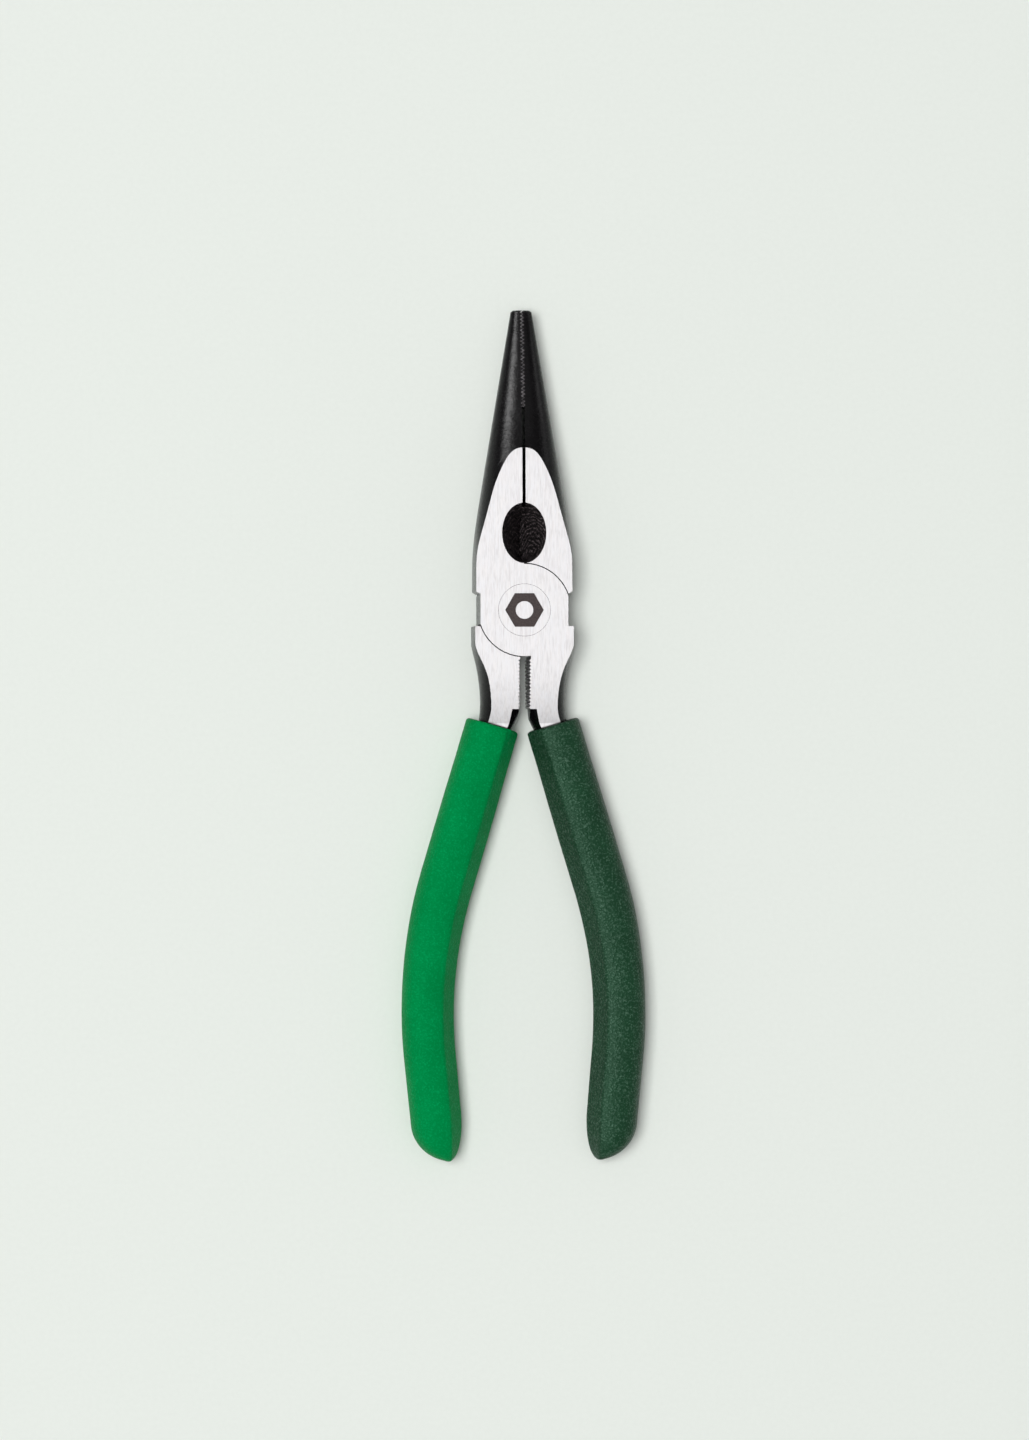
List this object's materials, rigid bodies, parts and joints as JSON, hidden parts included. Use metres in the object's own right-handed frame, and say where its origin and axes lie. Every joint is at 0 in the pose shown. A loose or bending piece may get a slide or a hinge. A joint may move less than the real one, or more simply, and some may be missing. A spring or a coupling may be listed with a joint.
{
  "type": "needle nose pliers",
  "caption": "Long-nose side-cutting pliers with a lap joint, a flush rivet, ground flats and curved two-tone vinyl grips.",
  "frame": {"origin": "where the pivot axis meets the ground face that the closed pliers lie on", "axes": "+Z along the pivot axis, up out of the face that carries the mark; +Y towards the tip of the nose; +X to the side of the dark grip"},
  "size_m": [0.0588, 0.2034, 0.012],
  "materials": {
    "forged_steel": "black oxide forging, faces ground bright",
    "ground_steel": "ground flush, fine straight scratches",
    "dark_vinyl": "satin dipped vinyl, fine leathery grain",
    "light_vinyl": "satin dipped vinyl, fine leathery grain"
  },
  "bodies": {
    "front": {"front_half": "forged_steel", "pivot_rivet": "ground_steel", "dark_grip": "dark_vinyl"},
    "rear": {"rear_half": "forged_steel", "light_grip": "light_vinyl"}
  },
  "joints": [
    {"name": "pivot", "type": "hinge", "parent": "front", "child": "rear", "pos_m": [0, 0, 0.006], "axis": [0, 0, -1], "range_deg": [0, 38]}
  ]
}
